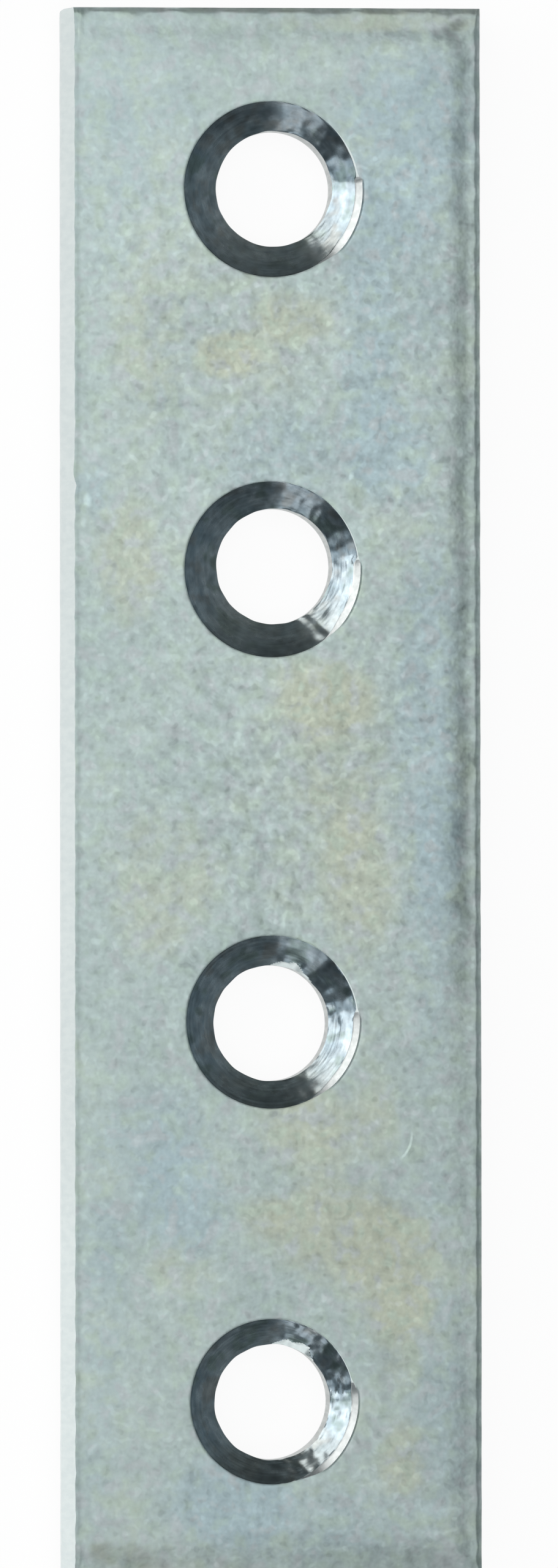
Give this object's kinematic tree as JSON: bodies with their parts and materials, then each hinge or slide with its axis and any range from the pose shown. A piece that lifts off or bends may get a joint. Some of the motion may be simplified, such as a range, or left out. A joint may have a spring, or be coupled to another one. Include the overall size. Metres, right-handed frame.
{
  "type": "mending plate",
  "caption": "Flat zinc-plated steel strip with a row of countersunk screw holes, for screwing across a joint or crack in wood.",
  "frame": {"origin": "middle of the back face, which lies on the surface that the plate rests on", "axes": "+Z out of the countersunk front face, +Y along the plate's length, +X across its width towards the long edge that is rolled over at the front"},
  "size_m": [0.016, 0.06, 0.002],
  "materials": {
    "zinc_plated_steel": "dull bluish zinc plate with a fine grain; bare bright tool-cut steel in the countersinks"
  },
  "bodies": {
    "root": {"mending_plate": "zinc_plated_steel"}
  },
  "joints": []
}
